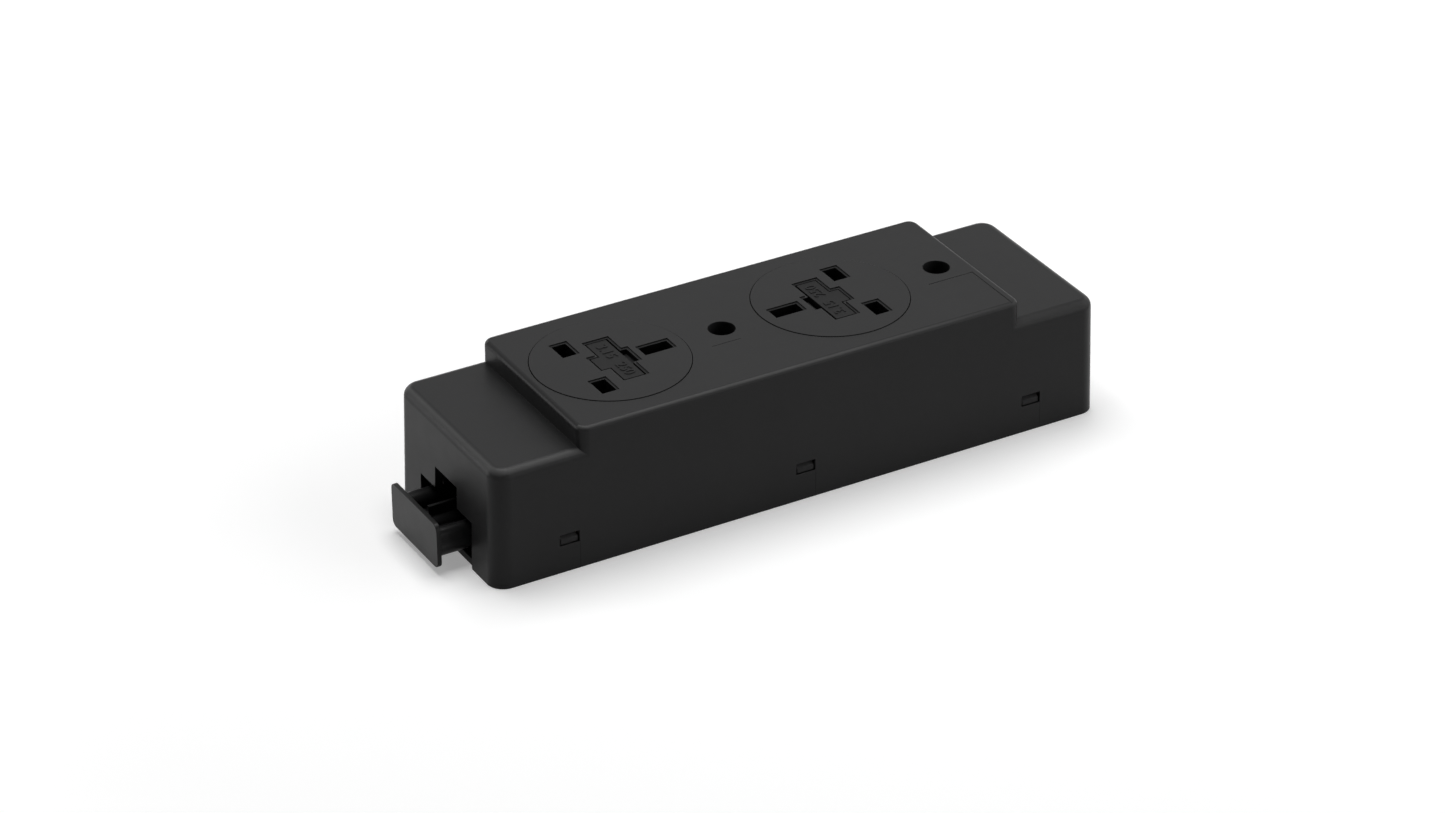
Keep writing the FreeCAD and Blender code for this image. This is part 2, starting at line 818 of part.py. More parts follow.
def inlet_pin(pole):
    """A solid round pin with a bevelled tip, its tail resting on a bar."""
    tip = connector_end - pole_radius
    pin = level_rod(pole_radius, (bar_end, tip), pole * pole_spacing, pole_height)
    rim = [edge for edge in pin.Edges if edge.BoundBox.XMin > tip - fit_gap]
    return pin.makeChamfer(pole_bevel, rim)


def outlet_contact(pole):
    """A round sleeve at the bottom of a chamber, its tail resting on a bar."""
    mouth = -(outlet_face - chamber_depth)
    y = pole * pole_spacing
    sleeve = level_rod(pole_radius, (mouth, -bar_end), y, pole_height)
    bore = level_rod(pole_radius - sleeve_wall, (mouth - past, mouth + sleeve_depth), y, pole_height)
    return sleeve.cut(bore)


def blanking_cap():
    """The push-in cap that closes the unused outlet, with its pull plate."""
    thickness, width, height = cap_plate
    plate_x = -(housing_length / 2 + cap_standoff + thickness)
    back = plate_x + thickness
    plate = block((plate_x, back), span(0, width), (cap_plate_low, cap_plate_low + height))
    corners = [edge for edge in plate.Edges if abs(edge.BoundBox.XLength - thickness) < fit_gap]
    plate = plate.makeFillet(cap_plate_radius, corners)
    tip = -(outlet_face - chamber_depth + part_gap)
    middle = pole_height - middle_post_drop
    posts = [post_outline(pole, 0.0, (back - thickness / 2, tip)) for pole in (-1, 0, 1)]
    fin_start = back + fin_standoff
    fin_end = -outlet_face - fin_thickness
    ledge = block((fin_start - fin_thickness, fin_start), span(0, ledge_width), (middle, ledge_top))
    fin = block((fin_start, fin_end), span(0, fin_thickness), (middle, fin_top))
    web = block((back - thickness / 2, fin_end), span(0, 2 * pole_spacing), span(middle, fin_thickness))
    return join([plate, ledge, fin, web] + posts)


def all_nodes():
    """Every separate piece of the module by name."""
    nodes = {"housing": housing(), "base_cover": base_cover(),
             "line_bar": line_bar(), "neutral_bar": neutral_bar(), "earth_bar": earth_bar(),
             "outlet_connector": outlet_connector(), "inlet_connector": inlet_connector(),
             "blanking_cap": blanking_cap()}
    makers = {"socket_face": socket_face, "socket_base": socket_base,
              "shutter": shutter, "shutter_spring": shutter_spring,
              "fuse_carrier": fuse_carrier, "fuse_tube": fuse_tube, "fuse_caps": fuse_caps,
              "line_contact": line_contact, "neutral_contact": neutral_contact,
              "earth_contact": earth_contact, "feed_clip": feed_clip}
    for name, make in makers.items():
        shape = make()
        for side in socket_centres:
            nodes[name + "_" + side] = seat_socket(shape, side)
    for name, pole in {"line": -1, "earth": 0, "neutral": 1}.items():
        nodes["outlet_contact_" + name] = outlet_contact(pole)
        nodes["inlet_pin_" + name] = inlet_pin(pole)
    return nodes


os.makedirs("parts", exist_ok=True)
for name, shape in all_nodes().items():
    shape.exportStep("parts/" + name + ".step")
    print(name, "solids", len(shape.Solids), "valid", shape.isValid(), "mm3", round(shape.Volume, 1))
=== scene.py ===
# %% [markdown]
# A power module for a desk, dressed for the camera.
# The solids of the module come ready made, at their real size and in their place.
# This lesson gives them the looks: softened mould edges, grained black plastic,
# bright metal inside, plain numbers on the fuse carriers, a pale floor and soft light.
# Everything is in metres, with X along the module, Y to the back and Z up.

# %% Load the solid module
import json
import math

import bmesh
import bpy
from mathutils import Matrix, Vector


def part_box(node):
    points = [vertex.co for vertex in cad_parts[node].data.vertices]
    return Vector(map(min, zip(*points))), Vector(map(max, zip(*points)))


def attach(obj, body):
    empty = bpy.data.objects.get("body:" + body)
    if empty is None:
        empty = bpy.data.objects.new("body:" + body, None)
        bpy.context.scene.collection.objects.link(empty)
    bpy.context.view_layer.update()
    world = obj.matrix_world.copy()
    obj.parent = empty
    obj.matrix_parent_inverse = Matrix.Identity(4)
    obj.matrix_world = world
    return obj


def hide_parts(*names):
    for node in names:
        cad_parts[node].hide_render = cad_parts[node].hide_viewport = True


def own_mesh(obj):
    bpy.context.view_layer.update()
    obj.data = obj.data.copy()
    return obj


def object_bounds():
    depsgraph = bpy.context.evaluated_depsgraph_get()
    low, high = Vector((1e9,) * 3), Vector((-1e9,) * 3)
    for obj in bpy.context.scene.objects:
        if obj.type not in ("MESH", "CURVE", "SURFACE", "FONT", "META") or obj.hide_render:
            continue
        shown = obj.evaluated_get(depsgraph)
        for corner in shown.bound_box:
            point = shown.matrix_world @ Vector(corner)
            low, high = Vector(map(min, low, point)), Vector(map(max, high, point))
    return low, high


MM = 0.001
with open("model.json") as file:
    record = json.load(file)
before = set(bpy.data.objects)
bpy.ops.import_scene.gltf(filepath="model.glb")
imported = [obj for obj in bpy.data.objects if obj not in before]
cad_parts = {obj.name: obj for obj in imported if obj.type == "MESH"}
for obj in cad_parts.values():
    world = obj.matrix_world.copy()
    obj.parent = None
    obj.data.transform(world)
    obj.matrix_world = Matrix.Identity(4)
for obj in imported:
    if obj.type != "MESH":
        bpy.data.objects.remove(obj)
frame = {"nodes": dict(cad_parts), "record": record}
solid_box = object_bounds()
solid_size = solid_box[1] - solid_box[0]
print("nodes", len(frame["nodes"]), "size mm", [round(side / MM, 1) for side in solid_size])

# %% [markdown]
# The camera stands where the photographer stood, about 1.3 m away with a long lens,
# so that the module's parallel edges stay nearly parallel in the picture.
# It could be placed by eye, but here it aims at one point of the module from a
# stated distance, angle round it and height above it, which are easy to read and change.

# %% Camera
aim_point = Vector((-6.75, 5.1, 14.0)) * MM
aim_distance = 1.290
turn_round = math.radians(-29.79)
height_angle = math.radians(30.27)
camera_roll = math.radians(-0.24)
lens_length_mm = 116.41
sensor_width_mm = 36.0
nearest_seen, furthest_seen = 0.05, 50.0


def place_camera():
    """A long-lens camera aimed at the module from its front left."""
    data = bpy.data.cameras.new("long_lens")
    data.sensor_fit = "HORIZONTAL"
    data.sensor_width = sensor_width_mm
    data.lens = lens_length_mm
    data.clip_start = nearest_seen
    data.clip_end = furthest_seen
    camera = bpy.data.objects.new("long_lens", data)
    bpy.context.scene.collection.objects.link(camera)
    back = Vector((math.sin(turn_round) * math.cos(height_angle),
                   -math.cos(turn_round) * math.cos(height_angle),
                   math.sin(height_angle)))
    facing = (-back).to_track_quat("-Z", "Y").to_matrix()
    rolled = facing @ Matrix.Rotation(camera_roll, 3, "Z")
    stand = Matrix.Translation(aim_point + back * aim_distance)
    camera.matrix_world = stand @ rolled.to_4x4()
    bpy.context.scene.camera = camera
    return camera


camera = place_camera()
print("camera at mm", [round(c / MM) for c in camera.matrix_world.translation])

# %% [markdown]
# A material is a small network of nodes. Two helpers keep each recipe short:
# one starts a material with its shader, the other adds a node and plugs its inputs in.
# The rest are the few sums, fades and bumps that every recipe is made of.
# Every pattern reads the object's own coordinates, so it stays on the surface
# when the piece moves or the camera turns.

# %% Helpers that start a material and add its nodes


def new_material(name, colour, roughness, **settings):
    """A material with one shader, whose even values are set on the shader itself."""
    material = bpy.data.materials.new(name)
    material.use_nodes = True
    shader = material.node_tree.nodes["Principled BSDF"]
    shader.inputs["Base Color"].default_value = (*colour, 1.0)
    shader.inputs["Roughness"].default_value = roughness
    for setting, value in settings.items():
        shader.inputs[setting.replace("_", " ")].default_value = value
    return material, shader


def add_node(tree, kind, inputs=None, **settings):
    """One node of a tree. An input is a value or the output socket that feeds it."""
    node = tree.nodes.new(kind)
    for setting, value in settings.items():
        setattr(node, setting, value)
    for key, value in (inputs or {}).items():
        if isinstance(value, bpy.types.NodeSocket):
            tree.links.new(value, node.inputs[key])
        else:
            node.inputs[key].default_value = value
    return node


# %% Helpers that read a surface point's place and direction


def object_place(tree):
    """The output that gives the place of each surface point in the piece's own metres."""
    return add_node(tree, "ShaderNodeTexCoord").outputs["Object"]


def part_of(tree, vector, axis):
    """One of the three numbers of a place or a direction."""
    return add_node(tree, "ShaderNodeSeparateXYZ", {0: vector}).outputs[axis]


def facing_up(tree):
    """How much each surface point faces upwards: 1 straight up, 0 sideways, -1 down."""
    direction = add_node(tree, "ShaderNodeTexCoord").outputs["Normal"]
    return part_of(tree, direction, "Z")


# %% Helpers for sums and fades


def maths(tree, operation, first, second=0.0):
    """One sum in a node tree."""
    return add_node(tree, "ShaderNodeMath", {0: first, 1: second}, operation=operation).outputs[0]


def product(tree, first, *others):
    """Patterns and numbers multiplied."""
    for other in others:
        first = maths(tree, "MULTIPLY", first, other)
    return first


def spread(tree, pattern, low, high):
    """A pattern of 0 to 1 stretched to run from a low to a high value."""
    return add_node(tree, "ShaderNodeMapRange",
                    {"Value": pattern, "To Min": low, "To Max": high}).outputs["Result"]


def ramp(tree, value, low, high, start=0.0, end=1.0):
    """A soft step: the start value below the low mark and the end value above the high one."""
    return add_node(tree, "ShaderNodeMapRange",
                    {"Value": value, "From Min": low, "From Max": high,
                     "To Min": start, "To Max": end},
                    interpolation_type="SMOOTHSTEP").outputs["Result"]


def band(tree, value, begin, full, still_full, finish):
    """1 between the two middle marks, fading to 0 at the outer ones."""
    return product(tree, ramp(tree, value, begin, full),
                   ramp(tree, value, still_full, finish, 1.0, 0.0))


# %% Helpers for colour, noise and bumps


def mixed(tree, share, first, second):
    """A first colour that fades to a second one by a share of 0 to 1."""
    return add_node(tree, "ShaderNodeMix", {"Factor": share, "A": first, "B": second},
                    data_type="RGBA").outputs["Result"]


def noise_pattern(tree, grain_mm, detail=2.0, place=None):
    """Soft random spots of about the given size, from 0 to 1."""
    if place is None:
        place = object_place(tree)
    return add_node(tree, "ShaderNodeTexNoise",
                    {"Vector": place, "Scale": 1 / (grain_mm * MM), "Detail": detail}
                    ).outputs["Fac"]


def add_bump(tree, shader, pattern, depth_mm):
    """Let a pattern of 0 to 1 raise the surface by up to the given depth."""
    bump = add_node(tree, "ShaderNodeBump",
                    {"Height": pattern, "Distance": depth_mm * MM, "Strength": 1.0})
    tree.links.new(bump.outputs["Normal"], shader.inputs["Normal"])


# %% [markdown]
# The lamps leave a line of light on the rounded upper edges of a black box, and here that
# highlight is painted into the colour as a paler tone. It could be painted by hand. Here the
# direction of the surface tells where the rounded edges are and the place tells which of them
# are outer ones, so the painted highlight follows by itself. It is painted weaker towards
# the inlet end, where the lamps catch the edges less.
# A slope is given as how much a surface faces up: 1 on a flat top and 0 on a wall.

# %% Painted highlight on the outer edges
# The pale tone of the painted highlight on the rounded outer edges.
painted_highlight_tone = (0.074, 0.074, 0.074, 1.0)
rounded_slopes = (0.48, 0.84, 0.87, 0.995)
outer_along_mm, outer_across_mm = 91.0, 25.4
outer_blend_mm = 0.5
highlight_fade_mm, least_highlight = 85.0, 0.25


def far_out(tree, axis, distance_mm):
    """1 beyond a distance to either side of the module's middle."""
    away = maths(tree, "ABSOLUTE", part_of(tree, object_place(tree), axis))
    return ramp(tree, away, distance_mm * MM, (distance_mm + outer_blend_mm) * MM)


def painted_edge_highlight(tree):
    """1 on the outer rounded edges that face partly upwards, fading to the inlet end."""
    rounded = band(tree, facing_up(tree), *rounded_slopes)
    outer = maths(tree, "MAXIMUM", far_out(tree, "X", outer_along_mm),
                  far_out(tree, "Y", outer_across_mm))
    along = part_of(tree, object_place(tree), "X")
    fading = ramp(tree, along, 0.0, highlight_fade_mm * MM, 1.0, least_highlight)
    return product(tree, rounded, outer, fading)


# %% [markdown]
# The housing is moulded in a glass-filled black nylon. The mould's inside was etched
# by sparks, which leaves a fine even grain that breaks up every reflection.
# It could be done with a picture of such a surface. Layers of noise do it at any
# distance: the grain itself, slow bands where the melt flowed, and rubbed spots.

# %% Black moulded plastic
flow_size_mm, flow_contrast = 28.0, 0.12
spot_size_mm, spot_roughness = 6.0, 0.07
least_spot_highlight = 0.7


def moulded_plastic(name, colour, roughness, grain_mm, grain_depth_mm, gloss, edge_highlight=0.0):
    """Black plastic with the marks that a spark-etched mould leaves, and a painted highlight on
    its outer edges.
    """
    material, shader = new_material(name, colour, roughness, Specular_IOR_Level=gloss)
    tree = material.node_tree
    flow = noise_pattern(tree, flow_size_mm, detail=3.0)
    darker = [c * (1 - flow_contrast) for c in colour]
    lighter = [c * (1 + flow_contrast) for c in colour]
    tone = mixed(tree, flow, (*darker, 1.0), (*lighter, 1.0))
    spots = noise_pattern(tree, spot_size_mm, detail=4.0)
    uneven = spread(tree, spots, roughness - spot_roughness, roughness + spot_roughness)
    tree.links.new(uneven, shader.inputs["Roughness"])
    add_bump(tree, shader, noise_pattern(tree, grain_mm), grain_depth_mm)
    # A paler tone on the outer rounded edges stands in for the lamps' highlight: a painted
    # highlight.
    if edge_highlight:
        highlight_share = product(tree, painted_edge_highlight(tree), spread(tree, spots, least_spot_highlight * edge_highlight, edge_highlight))
        tone = mixed(tree, highlight_share, tone, painted_highlight_tone)
    tree.links.new(tone, shader.inputs["Base Color"])
    return material


# %% The plastic of each kind of piece
black = (0.0165, 0.0165, 0.0168)
carrier_tone = (0.0108, 0.0108, 0.0109)
cap_tone = (0.010, 0.010, 0.0102)
deep_black = (0.006, 0.006, 0.006)
finishes = {
    "housing_plastic": moulded_plastic("grained_black", black, roughness=0.36, grain_mm=0.45,
                                       grain_depth_mm=0.010, gloss=0.10, edge_highlight=1.0),
    "insert_plastic": moulded_plastic("insert_black", black, roughness=0.36, grain_mm=0.45,
                                      grain_depth_mm=0.010, gloss=0.10),
    "carrier_plastic": moulded_plastic("carrier_black", carrier_tone, roughness=0.45,
                                       grain_mm=0.6, grain_depth_mm=0.010, gloss=0.08),
    "cover_plastic": moulded_plastic("cover_black", black, roughness=0.52, grain_mm=0.5,
                                     grain_depth_mm=0.010, gloss=0.10, edge_highlight=0.3),
    "connector_plastic": moulded_plastic("connector_black", deep_black, roughness=0.45,
                                         grain_mm=0.6, grain_depth_mm=0.006, gloss=0.08),
    "cap_plastic": moulded_plastic("cap_black", cap_tone, roughness=0.32, grain_mm=0.6,
                                   grain_depth_mm=0.004, gloss=0.13),
    "inner_plastic": moulded_plastic("inner_black", deep_black, roughness=0.5, grain_mm=0.6,
                                     grain_depth_mm=0.006, gloss=0.08),
}
print("plastics", len(finishes))

# %% [markdown]
# Each snap window is shut off by a small insert in the mould. Where the insert meets
# the rest, molten plastic leaves a hair line from the window's side down to the rim.
# It could be a sliver of a ridge, but at a tenth of a millimetre a line in the
# colour reads the same and leaves the wall's shape alone.

# %% Hair lines under the snap windows
# The black of a deep gap, for the hair lines and for the painted shade in the groove and the
# slots.
gap_black = (0.002, 0.002, 0.002, 1.0)
window_places_mm = (-72.85, 0.0, 72.85)
line_beside_mm = 3.1
line_width_mm = 0.14
line_top_mm, line_fade_mm = 8.2, 0.3
line_strength = 0.6


def darken(material, share):
    """Fade a plastic's colour to the black of a deep gap by a share of 0 to 1."""
    tree = material.node_tree
    colour = tree.nodes["Principled BSDF"].inputs["Base Color"]
    tree.links.new(mixed(tree, share, colour.links[0].from_socket, gap_black), colour)


def add_hair_lines(material):
    """Darken a thin upright line beside each window, on the outside of both long walls."""
    tree = material.node_tree
    place = object_place(tree)
    along = part_of(tree, place, "X")
    lines = 0.0
    for window in window_places_mm:
        aside = maths(tree, "SUBTRACT", along, (window + line_beside_mm) * MM)
        line = ramp(tree, maths(tree, "ABSOLUTE", aside),
                    line_width_mm / 2 * MM, line_width_mm * MM, 1.0, 0.0)
        lines = maths(tree, "MAXIMUM", lines, line)
    below = ramp(tree, part_of(tree, place, "Z"),
                 line_top_mm * MM, (line_top_mm + line_fade_mm) * MM, 1.0, 0.0)
    darken(material, product(tree, lines, below, line_strength))


add_hair_lines(finishes["housing_plastic"])
print("hair lines", len(window_places_mm) * 2)

# %% [markdown]
# A fine groove, the mark of an insert in the mould, runs beside each screw hole.
# It is cut into the solid, but its floor would catch as much light as the deck, while
# on the real one it lies in shade. So what lies just under the deck's height and faces up
# is darkened: painted shade.

# %% Painted shade on the floor of the mould line
deck_height_mm = 42.1
groove_depths_mm = (0.25, 0.17, 0.13, 0.03)
level_slopes = (0.94, 0.98)


def paint_groove_shade(material):
    """Paint shade on the flat bottom of the mould line beside the mounting holes."""
    tree = material.node_tree
    height = part_of(tree, object_place(tree), "Z")
    sunk = band(tree, height, *[(deck_height_mm - depth) * MM for depth in groove_depths_mm])
    # The groove's floor is darkened as painted shade.
    darken(material, product(tree, sunk, ramp(tree, facing_up(tree), *level_slopes)))


paint_groove_shade(finishes["housing_plastic"])
print("groove darkened below mm", deck_height_mm)

# %% [markdown]
# Light hardly finds its way down the pin slots and the gaps round the fuse carriers,
# so their walls are painted darker: painted shade.
# Height and facing tell them from the face and from the floor of each recess, which
# is why the darkening follows the height above the desk and spares what faces up.

# %% Painted shade on the walls inside the slots and gaps
wall_heights_mm = (41.8, 42.4)
upright_slopes = (0.5, 0.9)


def paint_inside_shade(material):
    """Fade a plastic's upright walls to a deeper black below the face of the sockets, as painted
    shade.
    """
    tree = material.node_tree
    height = part_of(tree, object_place(tree), "Z")
    low = ramp(tree, height, wall_heights_mm[0] * MM, wall_heights_mm[1] * MM, 1.0, 0.0)
    upright = ramp(tree, facing_up(tree), *upright_slopes, 1.0, 0.0)
    # The upright walls below the socket face are darkened as painted shade.
    darken(material, product(tree, low, upright))


for slot in ("insert_plastic", "carrier_plastic"):
    paint_inside_shade(finishes[slot])
print("walls darken between mm", wall_heights_mm)

# %% [markdown]
# The current runs in stamped brass strip. Rolling leaves fine scratches along the
# strip and handling dulls it in patches. The fuse's end caps are nickel plate, which
# is paler and smoother, and the springs are drawn steel wire. All are metals with
# their own colour, and noise stretched along one direction gives the rolled marks.

# %% Rolled metals
mark_size_mm, mark_squeeze = 0.15, 0.05
patch_size_mm, patch_dullness = 2.5, 0.75
polished, dulled = 0.08, 0.12


def rolled_metal(name, colour, roughness, along, scratch_depth_mm):
    """A metal with fine marks stretched along one axis and dull patches."""
    material, shader = new_material(name, colour, roughness, Metallic=1.0)
    tree = material.node_tree
    patches = noise_pattern(tree, patch_size_mm, detail=3.0)
    dull = [c * patch_dullness for c in colour]
    tree.links.new(mixed(tree, patches, (*colour, 1.0), (*dull, 1.0)), shader.inputs["Base Color"])
    uneven = spread(tree, patches, roughness - polished, roughness + dulled)
    tree.links.new(uneven, shader.inputs["Roughness"])
    squeeze = [1.0, 1.0, 1.0]
    squeeze["XYZ".index(along)] = mark_squeeze
    stretched = add_node(tree, "ShaderNodeMapping",
                         {"Vector": object_place(tree), "Scale": squeeze}).outputs[0]
    add_bump(tree, shader, noise_pattern(tree, mark_size_mm, place=stretched), scratch_depth_mm)
    return material


finishes["brass"] = rolled_metal("stamped_brass", (0.76, 0.55, 0.26), roughness=0.30,
                                 along="X", scratch_depth_mm=0.004)
finishes["plated_caps"] = rolled_metal("nickel_plate", (0.72, 0.70, 0.66), roughness=0.22,
                                       along="Y", scratch_depth_mm=0.002)
finishes["spring_steel"] = rolled_metal("spring_wire", (0.48, 0.48, 0.50), roughness=0.30,
                                        along="X", scratch_depth_mm=0.002)
print("metals", [slot for slot in finishes if not slot.endswith("plastic")])

# %% [markdown]
# The fuse's body is a short length of glass tube, drawn while it was soft. Drawing
# leaves slow waves that bend what shows through it. A plain clear shader would look
# like nothing at all, so a shallow bump of large soft spots gives the waves.

# %% Drawn glass
glass_tint = (0.96, 0.98, 0.97)
wave_size_mm, wave_depth_mm = 3.0, 0.01


def drawn_glass():
    """Clear glass with a faint unevenness of the drawn tube."""
    material, shader = new_material("drawn_glass", glass_tint, roughness=0.05,
                                    Transmission_Weight=1.0, IOR=1.5)
    tree = material.node_tree
    add_bump(tree, shader, noise_pattern(tree, wave_size_mm), wave_depth_mm)
    return material


finishes["fuse_glass"] = drawn_glass()
print("finishes", sorted(finishes))

# %% [markdown]
# The solids come with the name of their finish but without its looks. The record that
# came with them lists each solid's slot, so one loop dresses them all and none
# can be forgotten.

# %% Give every solid the finish of its slot
slot_of = {part["node"]: part["material_slot"] for part in frame["record"]["subparts"]}
for node, slot_name in slot_of.items():
    data = frame["nodes"][node].data
    data.materials.clear()
    data.materials.append(finishes[slot_name])
print("dressed", len(slot_of), "solids")

# %% [markdown]
# No moulded edge is razor sharp: the mould's own corners leave a radius of about
# a tenth of a millimetre, and that is what catches a thin line of light round every slot.
# The edges could be rounded in the solids, at a high cost in faces. Here each visible
# solid is copied, its loose triangles are joined into clean faces, and a bevel
# finishes the copy, which then stands for the solid.

# %% A clean copy of a solid's mesh
merge_distance_mm = 0.001
flat_angle = math.radians(0.8)


def clean_copy(node):
    """A copy of a solid's mesh with its triangles joined into flat faces."""
    mesh = frame["nodes"][node].data.copy()
    mesh.name = node + "_clean"
    work = bmesh.new()
    work.from_mesh(mesh)
    bmesh.ops.remove_doubles(work, verts=work.verts, dist=merge_distance_mm * MM)
    bmesh.ops.dissolve_limit(work, angle_limit=flat_angle, verts=work.verts, edges=work.edges)
    for face in work.faces:
        face.smooth = True
    work.to_mesh(mesh)
    work.free()
    return mesh


# %% Softened copies of the solids
edge_angle = math.radians(32)
edge_radius_mm = {"housing": 0.06, "socket_face_left": 0.06, "socket_face_right": 0.06,
                  "fuse_carrier_left": 0.08, "fuse_carrier_right": 0.08, "blanking_cap": 0.15,
                  "base_cover": 0.15, "outlet_connector": 0.12, "inlet_connector": 0.12,
                  "shutter_left": 0.1, "shutter_right": 0.1}
own_bodies = ("fuse_carrier_left", "fuse_carrier_right", "shutter_left", "shutter_right",
              "blanking_cap")


def soften(node, radius_mm):
    """Put a copy with rounded edges in a solid's place."""
    mesh = clean_copy(node)
    mesh.set_sharp_from_angle(angle=edge_angle)
    piece = bpy.data.objects.new(node + "_softened", mesh)
    bpy.context.scene.collection.objects.link(piece)
    bevel = piece.modifiers.new("edge_radius", "BEVEL")
    bevel.width = radius_mm * MM
    bevel.segments = 2
    bevel.limit_method = "ANGLE"
    bevel.angle_limit = edge_angle
    bevel.use_clamp_overlap = False
    even = piece.modifiers.new("flat_faces_stay_flat", "WEIGHTED_NORMAL")
    even.keep_sharp = True
    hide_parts(node)
    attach(piece, node if node in own_bodies else "module")
    return piece


softened = [soften(node, radius) for node, radius in edge_radius_mm.items()]
print("softened", len(softened))

# %% [markdown]
# A small steel spring closes each shutter. A coil follows a simple rule, so a node
# tree makes it: a row of points is wound round the axis, with a closed turn at each
# end as real springs have, and a round wire is swept along it.
# It could be drawn as a curve by hand, but then each size would need a new drawing.
# Each closed turn takes up one thickness of wire, and the wire itself takes a third.

# %% The winding rule of a spring
spring_inputs = {"Length": 5.0 * MM, "Coil radius": 0.9 * MM, "Wire radius": 0.15 * MM,
                 "Turns": 8.0}
points_per_turn = 28
wire_sides = 10
closed_wires = 3.0


def tree_input(tree, name, value):
    """A named length or number of a node tree, with a start value."""
    socket = tree.interface.new_socket(name, in_out="INPUT", socket_type="NodeSocketFloat")
    socket.default_value = value
    return socket.identifier


def distance_along(tree, given, turn):
    """How far the wire has come at each turn: closed at both ends and open between."""
    thickness = maths(tree, "MULTIPLY", given["Wire radius"], 2.0)
    last = maths(tree, "SUBTRACT", given["Turns"], 1.0)
    closed_length = maths(tree, "MULTIPLY", thickness, closed_wires)
    open_length = maths(tree, "SUBTRACT", given["Length"], closed_length)
    first_turn = add_node(tree, "ShaderNodeMapRange", {"Value": turn, "To Max": thickness})
    last_turn = add_node(tree, "ShaderNodeMapRange",
                         {"Value": turn, "From Min": last, "From Max": given["Turns"],
                          "To Max": thickness})
    open_turns = add_node(tree, "ShaderNodeMapRange",
                          {"Value": turn, "From Min": 1.0, "From Max": last,
                           "To Max": open_length})
    closed = maths(tree, "ADD", first_turn.outputs["Result"], last_turn.outputs["Result"])
    return maths(tree, "ADD", closed, open_turns.outputs["Result"])


# %% The node tree of a spring


def spring_tree():
    """Wind a row of points into a coil along X and sweep a wire along it."""
    tree = bpy.data.node_groups.new("coil_spring", "GeometryNodeTree")
    names = {name: tree_input(tree, name, value) for name, value in spring_inputs.items()}
    tree.interface.new_socket("Geometry", in_out="OUTPUT", socket_type="NodeSocketGeometry")
    given = tree.nodes.new("NodeGroupInput").outputs
    count = maths(tree, "ADD", maths(tree, "MULTIPLY", given["Turns"], points_per_turn), 1.0)
    row = add_node(tree, "GeometryNodeMeshLine", {"Count": count, "Offset": (0.0, 0.0, 0.0)})
    step = tree.nodes.new("GeometryNodeInputIndex").outputs[0]
    turn = maths(tree, "DIVIDE", step, points_per_turn)
    angle = maths(tree, "MULTIPLY", turn, 2 * math.pi)
    along = maths(tree, "ADD", distance_along(tree, given, turn), given["Wire radius"])
    across = maths(tree, "MULTIPLY", maths(tree, "COSINE", angle), given["Coil radius"])
    up = maths(tree, "MULTIPLY", maths(tree, "SINE", angle), given["Coil radius"])
    wound = add_node(tree, "ShaderNodeCombineXYZ", {"X": along, "Y": across, "Z": up})
    placed = add_node(tree, "GeometryNodeSetPosition",
                      {"Geometry": row.outputs[0], "Position": wound.outputs[0]})
    path = add_node(tree, "GeometryNodeMeshToCurve", {0: placed.outputs[0]})
    ring = add_node(tree, "GeometryNodeCurvePrimitiveCircle",
                    {"Resolution": wire_sides, "Radius": given["Wire radius"]})
    wire = add_node(tree, "GeometryNodeCurveToMesh",
                    {"Curve": path.outputs[0], "Profile Curve": ring.outputs[0],
                     "Fill Caps": True})
    real = add_node(tree, "GeometryNodeRealizeInstances", {0: wire.outputs[0]})
    painted = add_node(tree, "GeometryNodeSetMaterial",
                       {"Geometry": real.outputs[0], "Material": finishes["spring_steel"]})
    tree.links.new(painted.outputs[0], tree.nodes.new("NodeGroupOutput").inputs[0])
    return tree, names


coil, coil_names = spring_tree()
print("spring tree inputs", list(coil_names))

# %% [markdown]
# Each spring is grown once from the tree, at the length of the room that its solid
# holds, and kept as a plain mesh.


def grown_mesh(name, tree, values):
    """Evaluate a node tree once, with its inputs set, and keep the result as a plain mesh."""
    piece = bpy.data.objects.new(name, bpy.data.meshes.new(name + "_start"))
    bpy.context.scene.collection.objects.link(piece)
    modifier = piece.modifiers.new(name, "NODES")
    modifier.node_group = tree
    for identifier, value in values.items():
        modifier[identifier] = value
    ready = piece.evaluated_get(bpy.context.evaluated_depsgraph_get())
    mesh = bpy.data.meshes.new_from_object(ready)
    piece.modifiers.clear()
    piece.data = mesh
    return piece


def fit_spring(side):
    """Grow a spring that fills the room of its solid."""
    low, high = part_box("shutter_spring_" + side)
    length = high.x - low.x
    sizes = dict(spring_inputs)
    sizes["Length"] = length
    sizes["Coil radius"] = (high.z - low.z) / 2 - sizes["Wire radius"]
    values = {coil_names[name]: value for name, value in sizes.items()}
    spring = grown_mesh("coil_spring_" + side, coil, values)
    middle = (low + high) / 2
    spring.data.transform(Matrix.Translation((low.x, middle.y, middle.z)))
    spring.data.shade_smooth()
    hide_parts("shutter_spring_" + side)
    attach(spring, "module")
    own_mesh(spring)
    return length / MM


spring_lengths = [fit_spring("left"), fit_spring("right")]
print("spring lengths mm", [round(length, 2) for length in spring_lengths])

# %% [markdown]
# The face of each fuse carrier has raised marks. On this module they are plain
# numbers, for the current and the voltage that the fuse may carry. They could be
# cut into the carrier's own mesh, but raised text is a piece on its own that
# rides along when the carrier is pulled out.

# %% One raised number
number_height_mm = 3.2
digit_share = 0.7
number_proud_mm = 0.14
number_sink_mm = 0.05
number_edge_mm = 0.03


